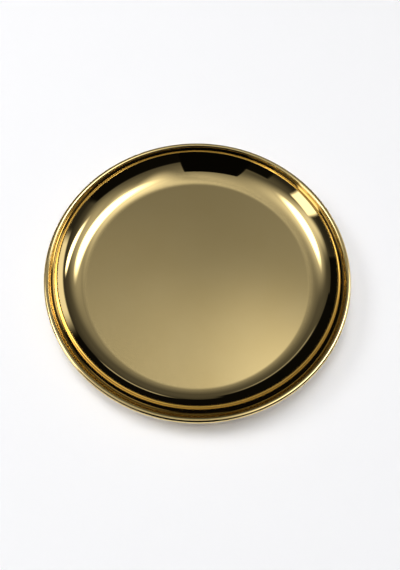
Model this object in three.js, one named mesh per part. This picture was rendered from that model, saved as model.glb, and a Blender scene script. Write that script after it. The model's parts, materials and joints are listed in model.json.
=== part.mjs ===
// Small round serving plate, pressed from one disc of polished gold-toned metal sheet: a flat floor,
// a tall wall in one sweep that is bent most at its foot and at its top, and an edge curled outwards
// and under into a hollow bead. Millimetres, +Z up. The plate stands on z = 0, round the Z axis.
import * as THREE from "three";

// Overall sizes
const OUTER_DIAMETER = 180; // across the curled rim
const PLATE_HEIGHT = 18; // from the table to the top of the rim
const WALL_SPREAD = 22; // in plan, from the edge of the flat floor to the outside of the rim
const SHEET = 0.8; // thickness of the metal

// Sweep of the wall, on its upper face
const FOOT_SWEEP = 7.5; // how far the curve is drawn along the floor
const TOP_SWEEP = 5.8; // how far it is drawn along the top of the wall
const TOP_SLOPE = THREE.MathUtils.degToRad(87); // where the wall runs into the curl

// Curled rim
const CURL_BORE = 0.8; // radius of the hollow inside the curl
const CURL_GAP = 0.5; // slit left open between the cut edge and the wall

// Finish
const GOLD_TONE = 0xe9cb7e;
const POLISH = 0.08; // roughness of the mirror polish

// Facets of each round stretch
const WALL_STEPS = 14;
const CURL_STEPS = 12;
const FACETS_AROUND = 80;

const floorRadius = OUTER_DIAMETER / 2 - WALL_SPREAD;
const curlRadius = CURL_BORE + SHEET;
const curlCentre = new THREE.Vector2(OUTER_DIAMETER / 2 - curlRadius, PLATE_HEIGHT - curlRadius);
const curlStart = TOP_SLOPE + Math.PI / 2; // angle at the curl's centre where the wall runs in

// The wall's upper face leaves the floor level and runs into the curl without a kink.
function wallCurve() {
  const foot = new THREE.Vector2(floorRadius, SHEET);
  const footHandle = new THREE.Vector2(floorRadius + FOOT_SWEEP, SHEET);
  const top = new THREE.Vector2(Math.cos(curlStart), Math.sin(curlStart))
    .multiplyScalar(curlRadius)
    .add(curlCentre);
  const topHandle = new THREE.Vector2(Math.cos(TOP_SLOPE), Math.sin(TOP_SLOPE))
    .multiplyScalar(-TOP_SWEEP)
    .add(top);
  return new THREE.CubicBezierCurve(foot, footHandle, topHandle, top);
}

// One face of the wall, a given depth below its upper face.
function wallFace(depth) {
  const curve = wallCurve();
  const points = [];
  for (let step = 0; step <= WALL_STEPS; step += 1) {
    const along = curve.getTangent(step / WALL_STEPS);
    const below = new THREE.Vector2(along.y, -along.x);
    points.push(curve.getPoint(step / WALL_STEPS).addScaledVector(below, depth));
  }
  return points;
}

// One face of the curl, round to the cut edge, which stops short of the wall by the slit.
function curlFace(depth) {
  const slitAngle = Math.acos(1 - (SHEET + CURL_GAP) / curlRadius);
  const curlEnd = curlStart - 2 * Math.PI + slitAngle;
  const radius = curlRadius - depth;
  const curve = new THREE.ArcCurve(curlCentre.x, curlCentre.y, radius, curlStart, curlEnd, true);
  return curve.getPoints(CURL_STEPS);
}

// One face of the whole sheet, from the axis to the cut edge.
function sheetFace(depth) {
  return [new THREE.Vector2(0, SHEET - depth), ...wallFace(depth), ...curlFace(depth).slice(1)];
}

// The section runs out along the underside and back along the upper face, from axis to axis.
function pressedPlate() {
  const section = [...sheetFace(SHEET), ...sheetFace(0).reverse()];
  const material = new THREE.MeshStandardMaterial({
    color: GOLD_TONE,
    roughness: POLISH,
    metalness: 1,
  });
  const mesh = new THREE.Mesh(new THREE.LatheGeometry(section, FACETS_AROUND), material);
  mesh.name = "pressed_plate";
  mesh.rotation.x = Math.PI / 2; // the lathe turns about Y, the plate's axis is Z
  return mesh;
}

const servingPlate = new THREE.Group();
servingPlate.name = "serving_plate";
servingPlate.add(pressedPlate());

export default servingPlate;
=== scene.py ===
"""Looks of a small round serving plate: one mirror-polished pressing of gold-toned metal sheet.

The plate stands on a pale table under soft overhead light. Metres, +Z up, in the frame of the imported
solids.
"""
import json
import logging
import math
from dataclasses import dataclass
from enum import Enum
from itertools import pairwise

import bpy
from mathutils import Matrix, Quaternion, Vector
from mathutils.geometry import interpolate_bezier


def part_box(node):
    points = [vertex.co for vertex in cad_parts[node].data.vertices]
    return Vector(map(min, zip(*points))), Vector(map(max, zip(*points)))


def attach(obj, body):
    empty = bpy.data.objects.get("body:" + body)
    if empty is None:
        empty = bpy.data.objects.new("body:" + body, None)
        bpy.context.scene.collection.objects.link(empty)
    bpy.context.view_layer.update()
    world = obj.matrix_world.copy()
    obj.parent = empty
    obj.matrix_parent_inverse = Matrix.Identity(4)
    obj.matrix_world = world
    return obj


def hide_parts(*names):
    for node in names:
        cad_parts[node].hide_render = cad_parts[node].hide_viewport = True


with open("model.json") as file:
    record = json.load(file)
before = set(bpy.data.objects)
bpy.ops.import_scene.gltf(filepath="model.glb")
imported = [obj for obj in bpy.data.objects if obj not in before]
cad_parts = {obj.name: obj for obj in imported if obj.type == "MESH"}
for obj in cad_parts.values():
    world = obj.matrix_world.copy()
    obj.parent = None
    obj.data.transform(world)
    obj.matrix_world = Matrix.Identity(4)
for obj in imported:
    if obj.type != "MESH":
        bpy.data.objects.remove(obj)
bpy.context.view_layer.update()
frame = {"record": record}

log = logging.getLogger("serving_plate")

MM = 0.001
IMAGE_LONG_SIDE_PX = 570
SENSOR_MM = 36.0
HALF_CARD = 0.5  # from the middle of a card to its side, in the card's UV map

PLATE_NODE = "pressed_plate"
PLATE_BODY = "root"
FLOOR_MOUNT = "serving_floor"

NodeValue = float | tuple[float, ...] | str | bpy.types.NodeSocket


def linear(code: str) -> tuple[float, float, float, float]:
    """Turns an sRGB hex colour into linear light.

    Args:
        code: Six hex digits, such as "F3DDA2".

    Returns:
        Red, green, blue and a full alpha, linear.
    """
    channels = [int(code[start:start + 2], 16) / 255 for start in (0, 2, 4)]
    bright = [c / 12.92 if c <= 0.04045 else ((c + 0.055) / 1.055) ** 2.4 for c in channels]
    return (bright[0], bright[1], bright[2], 1.0)


def add_node(tree: bpy.types.NodeTree, kind: str, settings: dict[str, object],
             inputs: dict[str | int, NodeValue]) -> bpy.types.Node:
    """Adds one node, sets its options and fills or links its inputs.

    Args:
        tree: The node tree that gets the node.
        kind: Blender's name for the kind of node.
        settings: The node's own options by name.
        inputs: A value, or the output to link from, for each input by name or number.

    Returns:
        The new node.
    """
    node = tree.nodes.new(kind)
    for name, value in settings.items():
        setattr(node, name, value)
    for name, value in inputs.items():
        if isinstance(value, bpy.types.NodeSocket):
            tree.links.new(value, node.inputs[name])
        else:
            node.inputs[name].default_value = value
    return node


def new_material(name: str) -> tuple[bpy.types.Material, bpy.types.NodeTree]:
    """Makes an empty node material.

    Args:
        name: The material's name.

    Returns:
        The material and its node tree, with no nodes in it.
    """
    material = bpy.data.materials.new(name)
    material.use_nodes = True
    material.node_tree.nodes.clear()
    return material, material.node_tree


def pattern_scale(size_mm: float) -> float:
    """Gives the texture scale at which one cell of a noise is this many millimetres wide."""
    return 1.0 / (size_mm * MM)


def deselect_all() -> None:
    """Clears the selection, so that an operator acts on the new piece alone."""
    bpy.ops.object.select_all(action="DESELECT")


class StageLook(Enum):
    """What a stage card shows to the metal."""

    SOFTBOX = "softbox"
    REFLECTOR = "reflector"
    FLAG = "flag"


@dataclass(frozen=True)
class PolishedGoldMetal:
    """Pressed metal sheet, buffed to a mirror with a pale gold tone.

    Buffing leaves a light haze in patches, and the press leaves the sheet a little uneven, so mirrored
    edges run slightly wavy.
    """

    gold: str = "EBD397"
    deep_gold: str = "E4CA8A"
    tone_patch_mm: float = 34.0
    tone_detail: float = 3.0
    haze_patch_mm: float = 18.0
    haze_detail: float = 4.0
    haze_start: float = 0.35
    haze_full: float = 0.75
    clear_roughness: float = 0.02
    hazy_roughness: float = 0.045
    unevenness_mm: float = 24.0
    unevenness_detail: float = 1.0
    unevenness_height_mm: float = 0.012

    def material(self) -> bpy.types.Material:
        """Builds the metal's nodes and returns the material."""
        material, tree = new_material("mirror_polished_gold_metal")
        place = add_node(tree, "ShaderNodeTexCoord", {}, {}).outputs["Object"]
        tone = add_node(tree, "ShaderNodeTexNoise", {}, {
            "Vector": place, "Scale": pattern_scale(self.tone_patch_mm), "Detail": self.tone_detail})
        colour = add_node(tree, "ShaderNodeMix", {"data_type": "RGBA"}, {
            0: tone.outputs["Fac"], 6: linear(self.gold), 7: linear(self.deep_gold)})
        haze = add_node(tree, "ShaderNodeTexNoise", {}, {
            "Vector": place, "Scale": pattern_scale(self.haze_patch_mm), "Detail": self.haze_detail})
        roughness = add_node(tree, "ShaderNodeMapRange", {}, {
            "Value": haze.outputs["Fac"], "From Min": self.haze_start, "From Max": self.haze_full,
            "To Min": self.clear_roughness, "To Max": self.hazy_roughness})
        uneven = add_node(tree, "ShaderNodeTexNoise", {}, {
            "Vector": place, "Scale": pattern_scale(self.unevenness_mm),
            "Detail": self.unevenness_detail})
        bump = add_node(tree, "ShaderNodeBump", {}, {
            "Height": uneven.outputs["Fac"], "Distance": self.unevenness_height_mm * MM})
        shader = add_node(tree, "ShaderNodeBsdfPrincipled", {}, {
            "Base Color": colour.outputs[2], "Metallic": 1.0,
            "Roughness": roughness.outputs["Result"], "Normal": bump.outputs["Normal"]})
        add_node(tree, "ShaderNodeOutputMaterial", {}, {"Surface": shader.outputs["BSDF"]})
        return material


@dataclass(frozen=True)
class WhiteTable:
    """Smooth white laminate, matt enough to show a soft shadow and no mirror image."""

    white: str = "FBFBFD"
    roughness: float = 0.7
    sheen: float = 0.1

    def material(self) -> bpy.types.Material:
        """Builds the table's nodes and returns the material."""
        material, tree = new_material("white_laminate_table")
        shader = add_node(tree, "ShaderNodeBsdfPrincipled", {}, {
            "Base Color": linear(self.white), "Roughness": self.roughness,
            "Specular IOR Level": self.sheen})
        add_node(tree, "ShaderNodeOutputMaterial", {}, {"Surface": shader.outputs["BSDF"]})
        return material


@dataclass(frozen=True)
class CardGlow:
    """Light that a card gives, even in the middle and fading over a soft border.

    A softbox is round and fades towards its rim. The other cards are square and fade at their four
    sides.
    """

    name: str
    look: StageLook
    strength: float
    border: float

    def material(self) -> bpy.types.Material:
        """Builds the card's glow from its UV map and returns the material."""
        material, tree = new_material(self.name)
        uv = add_node(tree, "ShaderNodeTexCoord", {}, {}).outputs["UV"]
        from_middle = add_node(tree, "ShaderNodeVectorMath", {"operation": "SUBTRACT"}, {
            0: uv, 1: (HALF_CARD, HALF_CARD, 0.0)}).outputs["Vector"]
        if self.look is StageLook.SOFTBOX:
            round_reach = add_node(tree, "ShaderNodeVectorMath", {"operation": "LENGTH"}, {
                0: from_middle})
            reaches = [round_reach.outputs["Value"]]
        else:
            square_reach = add_node(tree, "ShaderNodeVectorMath", {"operation": "ABSOLUTE"}, {
                0: from_middle})
            sides = add_node(tree, "ShaderNodeSeparateXYZ", {}, {
                "Vector": square_reach.outputs["Vector"]})
            reaches = [sides.outputs["X"], sides.outputs["Y"]]
        level: NodeValue = 1.0
        for reach in reaches:
            fade = add_node(tree, "ShaderNodeMapRange", {"interpolation_type": "SMOOTHSTEP"}, {
                "Value": reach, "From Min": HALF_CARD - HALF_CARD * self.border, "From Max": HALF_CARD,
                "To Min": 1.0, "To Max": 0.0})
            level = add_node(tree, "ShaderNodeMath", {"operation": "MULTIPLY"}, {
                0: level, 1: fade.outputs["Result"]}).outputs["Value"]
        power = add_node(tree, "ShaderNodeMath", {"operation": "MULTIPLY"}, {0: level, 1: self.strength})
        glow = add_node(tree, "ShaderNodeEmission", {}, {"Strength": power.outputs["Value"]})
        clear = add_node(tree, "ShaderNodeBsdfTransparent", {}, {})
        shader = add_node(tree, "ShaderNodeMixShader", {}, {
            0: level, 1: clear.outputs["BSDF"], 2: glow.outputs["Emission"]})
        add_node(tree, "ShaderNodeOutputMaterial", {}, {"Surface": shader.outputs["Shader"]})
        return material


@dataclass(frozen=True)
class RoomShade:
    """The room about the table: a grey ceiling overhead that falls off to dark walls."""

    # Height on a unit dome, and the brightness there.
    overhead: tuple[float, float] = (1.0, 0.85)
    high: tuple[float, float] = (0.966, 0.73)
    shoulder: tuple[float, float] = (0.90, 0.42)
    middle: tuple[float, float] = (0.85, 0.28)
    edge: tuple[float, float] = (0.77, 0.18)
    low: tuple[float, float] = (0.64, 0.095)
    wall: tuple[float, float] = (0.50, 0.09)
    foot: tuple[float, float] = (0.25, 0.025)

    def material(self) -> bpy.types.Material:
        """Builds the dome's gradient and returns the material."""
        material, tree = new_material("dim_room_shade")
        place = add_node(tree, "ShaderNodeTexCoord", {}, {}).outputs["Object"]
        unit = add_node(tree, "ShaderNodeVectorMath", {"operation": "NORMALIZE"}, {0: place})
        height = add_node(tree, "ShaderNodeSeparateXYZ", {}, {"Vector": unit.outputs["Vector"]})
        ramp = add_node(tree, "ShaderNodeValToRGB", {}, {"Fac": height.outputs["Z"]})
        stops = sorted((self.overhead, self.high, self.shoulder, self.middle,
                        self.edge, self.low, self.wall, self.foot))
        elements = ramp.color_ramp.elements
        while len(elements) < len(stops):
            elements.new(0.5)
        for element, (position, level) in zip(elements, stops):
            element.position = position
            element.color = (level, level, level, 1.0)
        glow = add_node(tree, "ShaderNodeEmission", {}, {"Color": ramp.outputs["Color"]})
        add_node(tree, "ShaderNodeOutputMaterial", {}, {"Surface": glow.outputs["Emission"]})
        return material


@dataclass
class PressedPlate:
    """The plate: one sheet with a flat floor, a wall in one sweep and an outward curl."""

    outer_radius: float
    height: float
    sheet: float
    wall_spread: float = 22.0 * MM
    foot_sweep: float = 7.5 * MM
    top_sweep: float = 5.8 * MM
    top_slope: float = math.radians(87.0)
    curl_bore: float = 0.8 * MM
    curl_gap: float = 0.5 * MM
    cut_edge_round: float = 0.12 * MM
    cut_edge_segments: int = 2
    cut_edge_angle: float = math.radians(60.0)
    weld_distance: float = 0.01 * MM
    facets_around: int = 600
    floor_rings: int = 2
    wall_steps: int = 46
    curl_steps: int = 26
    smooth_angle: float = math.radians(40.0)

    def section(self) -> list[Vector]:
        """Gives the upper face of the sheet in the XZ plane, from the axis to the cut edge.

        Returns:
            The section's points, each at its place in the frame.
        """
        floor_radius = self.outer_radius - self.wall_spread
        curl_radius = self.curl_bore + self.sheet
        curl_centre = Vector((self.outer_radius - curl_radius, 0.0, self.height - curl_radius))
        curl_start = self.top_slope + math.pi / 2
        slit = math.acos(1.0 - (self.sheet + self.curl_gap) / curl_radius)
        sweep = math.tau - slit
        turns = [curl_start - sweep * step / self.curl_steps for step in range(self.curl_steps + 1)]
        curl = [curl_centre + curl_radius * Vector((math.cos(a), 0.0, math.sin(a))) for a in turns]
        foot = Vector((floor_radius, 0.0, self.sheet))
        foot_handle = foot + Vector((self.foot_sweep, 0.0, 0.0))
        up_the_wall = Vector((math.cos(self.top_slope), 0.0, math.sin(self.top_slope)))
        top_handle = curl[0] - self.top_sweep * up_the_wall
        wall = interpolate_bezier(foot, foot_handle, top_handle, curl[0], self.wall_steps + 1)
        centre = Vector((0.0, 0.0, self.sheet))
        floor = [centre.lerp(foot, ring / self.floor_rings) for ring in range(self.floor_rings)]
        return [*floor, *wall, *curl[1:]]

    def spin_face(self) -> bpy.types.Object:
        """Draws the section point by point and spins it into the sheet's upper face.

        Returns:
            The open face as a new object at the origin.
        """
        points = self.section()
        deselect_all()
        bpy.ops.mesh.primitive_plane_add(size=self.sheet, location=(0.0, 0.0, 0.0))
        face = bpy.context.object
        face.name = "polished_plate"
        bpy.ops.object.mode_set(mode="EDIT")
        bpy.ops.mesh.select_all(action="SELECT")
        bpy.ops.mesh.merge(type="CENTER")
        bpy.ops.transform.translate(value=points[0])
        for here, there in pairwise(points):
            bpy.ops.mesh.extrude_region_move(TRANSFORM_OT_translate={"value": there - here})
        bpy.ops.mesh.select_all(action="SELECT")
        bpy.ops.mesh.spin(steps=self.facets_around, angle=math.tau, center=(0, 0, 0), axis=(0, 0, 1))
        bpy.ops.mesh.select_all(action="SELECT")
        bpy.ops.mesh.remove_doubles(threshold=self.weld_distance)
        bpy.ops.mesh.normals_make_consistent(inside=False)
        bpy.ops.object.mode_set(mode="OBJECT")
        middle = min(face.data.polygons, key=lambda polygon: polygon.center.xy.length)
        if middle.normal.z < 0.0:
            bpy.ops.object.mode_set(mode="EDIT")
            bpy.ops.mesh.flip_normals()
            bpy.ops.object.mode_set(mode="OBJECT")
        return face

    def build(self) -> bpy.types.Object:
        """Gives the spun face its thickness, rounds the cut edge and smooths it.

        Returns:
            The finished plate.
        """
        plate = self.spin_face()
        thickness = plate.modifiers.new("sheet_thickness", "SOLIDIFY")
        thickness.thickness = self.sheet
        thickness.offset = -1.0
        thickness.use_even_offset = True
        bpy.ops.object.modifier_apply(modifier=thickness.name)
        edge = plate.modifiers.new("cut_edge_round", "BEVEL")
        edge.width = self.cut_edge_round
        edge.segments = self.cut_edge_segments
        edge.limit_method = "ANGLE"
        edge.angle_limit = self.cut_edge_angle
        bpy.ops.object.modifier_apply(modifier=edge.name)
        bpy.ops.object.shade_smooth_by_angle(angle=self.smooth_angle)
        return plate

    def dress(self, plate: bpy.types.Object, finish: PolishedGoldMetal) -> None:
        """Puts the finish on the plate and ties it to the frame.

        Args:
            plate: The finished plate.
            finish: The metal's finish.
        """
        plate.data.materials.append(finish.material())
        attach(plate, PLATE_BODY)
        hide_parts(PLATE_NODE)


@dataclass
class StageCard:
    """One flat card of the stage, which only the metal's mirror shows."""

    name: str
    look: StageLook
    centre: Vector
    width: float
    height: float
    strength: float
    border: float
    tilt: float = 0.0
    turn: float = 0.0

    def build(self) -> bpy.types.Object:
        """Adds the card with its glow, flat when its tilt is zero and upright at 90 degrees.

        Returns:
            The card.
        """
        deselect_all()
        bpy.ops.mesh.primitive_plane_add(size=1.0, location=self.centre,
                                         rotation=(self.tilt, 0.0, self.turn))
        card = bpy.context.object
        card.name = self.name
        card.scale = (self.width, self.height, 1.0)
        card.visible_camera = False
        card.visible_diffuse = False
        card.visible_shadow = False
        glow = CardGlow(f"{self.look.value}_glow_{self.name}", self.look, self.strength, self.border)
        card.data.materials.append(glow.material())
        return card


@dataclass
class TableLamp:
    """One soft lamp that lights the table and stays out of the metal's mirror image."""

    name: str
    place: Vector
    size: float
    power: float

    def build(self) -> bpy.types.Object:
        """Adds the lamp, pointed at the plate.

        Returns:
            The lamp.
        """
        deselect_all()
        turn = (-self.place).to_track_quat("-Z", "Y")
        bpy.ops.object.light_add(type="AREA", location=self.place, rotation=turn.to_euler())
        lamp = bpy.context.object
        lamp.name = self.name
        lamp.data.size = self.size
        lamp.data.energy = self.power
        lamp.visible_glossy = False
        return lamp


@dataclass
class StudioSet:
    """The table, the dim room about it and the cards that light the plate."""

    table_radius: float = 0.75
    table_drop: float = 0.05 * MM
    room_radius: float = 6.0
    ceiling: float = 2.0
    table_facets: int = 128
    room_segments: int = 48
    room_rings: int = 32
    surround: str = "FFFFFF"

    def table(self) -> bpy.types.Object:
        """Adds the white table top, a hair below the plate so that the two faces don't share a plane."""
        deselect_all()
        bpy.ops.mesh.primitive_circle_add(vertices=self.table_facets, radius=self.table_radius,
                                          fill_type="NGON", location=(0.0, 0.0, -self.table_drop))
        table = bpy.context.object
        table.name = "white_table"
        table.data.materials.append(WhiteTable().material())
        return table

    def room(self) -> bpy.types.Object:
        """Adds the half dome that stands for the room's ceiling and walls."""
        deselect_all()
        bpy.ops.mesh.primitive_uv_sphere_add(segments=self.room_segments, ring_count=self.room_rings,
                                             radius=self.room_radius)
        dome = bpy.context.object
        dome.name = "dim_room"
        bpy.ops.object.mode_set(mode="EDIT")
        bpy.ops.mesh.select_all(action="SELECT")
        bpy.ops.mesh.bisect(plane_co=(0, 0, 0), plane_no=(0, 0, 1), clear_inner=True)
        bpy.ops.object.mode_set(mode="OBJECT")
        dome.visible_camera = False
        dome.data.materials.append(RoomShade().material())
        return dome

    def cards(self) -> list[StageCard]:
        """Lists the softboxes with their cores and halos, the pale reflectors and the dark flags."""
        over = self.ceiling
        upright = math.radians(90.0)
        # Each core, halo and fill hangs a little off the softboxes, so that it shares no plane with them.
        return [
            StageCard(
                "left_softbox", StageLook.SOFTBOX, Vector((-1.02, 0.04, 1.0)) * over,
                width=0.70 * over, height=1.36 * over, strength=5.0, border=0.65, turn=math.radians(17.0)),
            StageCard(
                "right_softbox", StageLook.SOFTBOX, Vector((0.67, 0.16, 1.0)) * over,
                width=0.66 * over, height=1.56 * over, strength=5.0, border=0.62, turn=math.radians(-35.0)),
            StageCard(
                "far_right_softbox", StageLook.SOFTBOX, Vector((1.83, 0.57, 1.0)) * over,
                width=0.56 * over, height=1.95 * over, strength=4.2, border=0.55, turn=math.radians(-36.0)),
            StageCard(
                "left_core", StageLook.SOFTBOX, Vector((-1.02, 0.04, 1.0)) * over * 0.99,
                width=0.36 * over, height=0.70 * over, strength=12.0, border=0.8, turn=math.radians(17.0)),
            StageCard(
                "right_core", StageLook.SOFTBOX, Vector((0.67, 0.16, 1.0)) * over * 0.99,
                width=0.36 * over, height=0.85 * over, strength=12.0, border=0.8, turn=math.radians(-35.0)),
            StageCard(
                "near_halo", StageLook.SOFTBOX, Vector((0.295, -0.14, 1.0)) * over * 1.01,
                width=0.69 * over, height=1.87 * over, strength=1.45, border=1.0, turn=math.radians(15.0)),
            StageCard(
                "left_halo", StageLook.SOFTBOX, Vector((-0.945, 0.075, 1.0)) * over * 1.03,
                width=2.71 * over, height=1.76 * over, strength=1.34, border=1.0, turn=math.radians(-40.0)),
            StageCard(
                "right_halo", StageLook.SOFTBOX, Vector((0.376, 0.0, 1.0)) * over * 1.02,
                width=1.73 * over, height=0.98 * over, strength=2.0, border=1.0, turn=math.radians(-40.0)),
            StageCard(
                "left_fill", StageLook.SOFTBOX, Vector((-1.5, -0.08, 1.0)) * over * 1.05,
                width=3.9 * over, height=1.79 * over, strength=1.2, border=1.0, turn=math.radians(-21.0)),
            StageCard(
                "right_fill", StageLook.SOFTBOX, Vector((0.924, 0.2, 1.0)) * over * 1.04,
                width=3.4 * over, height=2.89 * over, strength=0.62, border=1.0, turn=math.radians(-25.0)),
            StageCard(
                "right_reflector", StageLook.REFLECTOR, Vector((2.257, 1.2, 0.46)),
                width=2.6, height=0.90, strength=1.1, border=0.5, tilt=upright, turn=math.radians(-59.0)),
            StageCard(
                "left_reflector", StageLook.REFLECTOR, Vector((-2.10, -0.65, 0.69)),
                width=0.84, height=1.42, strength=2.0, border=0.35, tilt=upright, turn=math.radians(105.0)),
            StageCard(
                "far_left_reflector", StageLook.REFLECTOR, Vector((-1.29, 2.81, 1.84)),
                width=2.6, height=0.30, strength=0.36, border=0.6, tilt=upright, turn=math.radians(15.0)),
            StageCard(
                "far_left_flag", StageLook.FLAG, Vector((-1.9, 2.75, 0.86)),
                width=3.5, height=1.80, strength=0.004, border=0.1, tilt=upright, turn=math.radians(15.0)),
            StageCard(
                "far_right_reflector", StageLook.REFLECTOR, Vector((0.72, 2.6, 1.02)),
                width=1.4, height=0.20, strength=0.50, border=0.6, tilt=upright),
            StageCard(
                "far_right_flag", StageLook.FLAG, Vector((1.2, 2.95, 0.58)),
                width=4.8, height=1.22, strength=0.004, border=0.1, tilt=upright, turn=math.radians(6.0)),
            StageCard(
                "left_flag", StageLook.FLAG, Vector((-2.41, 1.23, 0.52)),
                width=1.14, height=1.04, strength=0.004, border=0.15, tilt=upright,
                turn=math.radians(63.0)),
            StageCard(
                "near_right_flag", StageLook.FLAG, Vector((1.74, -1.54, 0.89)),
                width=3.3, height=1.82, strength=0.004, border=0.2, tilt=upright, turn=math.radians(30.0)),
            StageCard(
                "near_left_flag", StageLook.FLAG, Vector((-1.06, -1.94, 0.75)),
                width=1.52, height=1.50, strength=0.004, border=0.12, tilt=upright,
                turn=math.radians(-32.0)),
            StageCard(
                "camera_flag", StageLook.FLAG, Vector((-0.11, -0.6, 0.59)),
                width=0.54, height=1.18, strength=0.002, border=0.04, tilt=upright),
        ]

    def lamps(self) -> list[TableLamp]:
        """Lists the lamps that cast the plate's soft shadow to the near right."""
        return [
            TableLamp("overhead_lamp", Vector((0.1, -0.15, 2.2)), size=1.2, power=16.0),
            TableLamp("far_lamp", Vector((-0.35, 0.55, 2.1)), size=0.8, power=13.5),
            TableLamp("left_lamp", Vector((-1.5, 0.35, 1.5)), size=0.7, power=12.0),
        ]

    def world(self) -> None:
        """Makes the world plain white where the camera or a mirror looks past the stage."""
        world = bpy.data.worlds.new("white_surround")
        world.use_nodes = True
        tree = world.node_tree
        tree.nodes.clear()
        ray = add_node(tree, "ShaderNodeLightPath", {}, {})
        seen = add_node(tree, "ShaderNodeMath", {"operation": "ADD"}, {
            0: ray.outputs["Is Camera Ray"], 1: ray.outputs["Is Glossy Ray"]})
        shown = add_node(tree, "ShaderNodeMath", {"operation": "MAXIMUM"}, {
            0: seen.outputs["Value"], 1: ray.outputs["Is Transmission Ray"]})
        back = add_node(tree, "ShaderNodeBackground", {}, {
            "Color": linear(self.surround), "Strength": shown.outputs["Value"]})
        add_node(tree, "ShaderNodeOutputWorld", {}, {"Surface": back.outputs["Background"]})
        bpy.context.scene.world = world

    def build(self) -> None:
        """Builds the whole stage."""
        self.table()
        self.room()
        for card in self.cards():
            card.build()
            log.info("stage card %s", card.name)
        for lamp in self.lamps():
            lamp.build()
        self.world()


@dataclass
class PhotoCamera:
    """The camera that looks down at the plate as the photograph does."""

    elevation: float = math.radians(64.56)
    distance: float = 297.0 * MM
    focal_px: float = 503.0
    aim: Vector = Vector((1.45 * MM, -11.6 * MM, 16.4 * MM))
    rim_centre: Vector = Vector((0.0, 0.0, 16.4 * MM))
    roll: float = math.radians(2.15)
    clip_start: float = 0.01

    def build(self) -> bpy.types.Object:
        """Adds the camera and makes it the scene's camera.

        Returns:
            The camera.
        """
        deselect_all()
        back = Vector((0.0, -math.cos(self.elevation), math.sin(self.elevation)))
        place = self.rim_centre + back * self.distance
        turn = (self.aim - place).to_track_quat("-Z", "Y") @ Quaternion((0.0, 0.0, 1.0), self.roll)
        bpy.ops.object.camera_add(location=place, rotation=turn.to_euler())
        camera = bpy.context.object
        camera.name = "photo_camera"
        camera.data.sensor_width = SENSOR_MM
        camera.data.lens = self.focal_px / IMAGE_LONG_SIDE_PX * SENSOR_MM
        camera.data.clip_start = self.clip_start
        bpy.context.scene.camera = camera
        return camera


def plate_from_frame() -> PressedPlate:
    """Reads the plate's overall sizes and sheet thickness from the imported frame."""
    low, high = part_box(PLATE_NODE)
    mounts = {mount["name"]: mount for mount in frame["record"]["mounts"]}
    return PressedPlate(outer_radius=(high[0] - low[0]) / 2, height=high[2],
                        sheet=mounts[FLOOR_MOUNT]["pos_m"][2])


def main() -> None:
    """Builds the plate, the stage and the camera in order."""
    logging.basicConfig(level=logging.INFO)
    bpy.context.scene.view_settings.view_transform = "Standard"
    design = plate_from_frame()
    plate = design.build()
    design.dress(plate, PolishedGoldMetal())
    log.info("piece %s: %d faces", plate.name, len(plate.data.polygons))
    StudioSet().build()
    PhotoCamera().build()


if __name__ == "__main__":
    main()
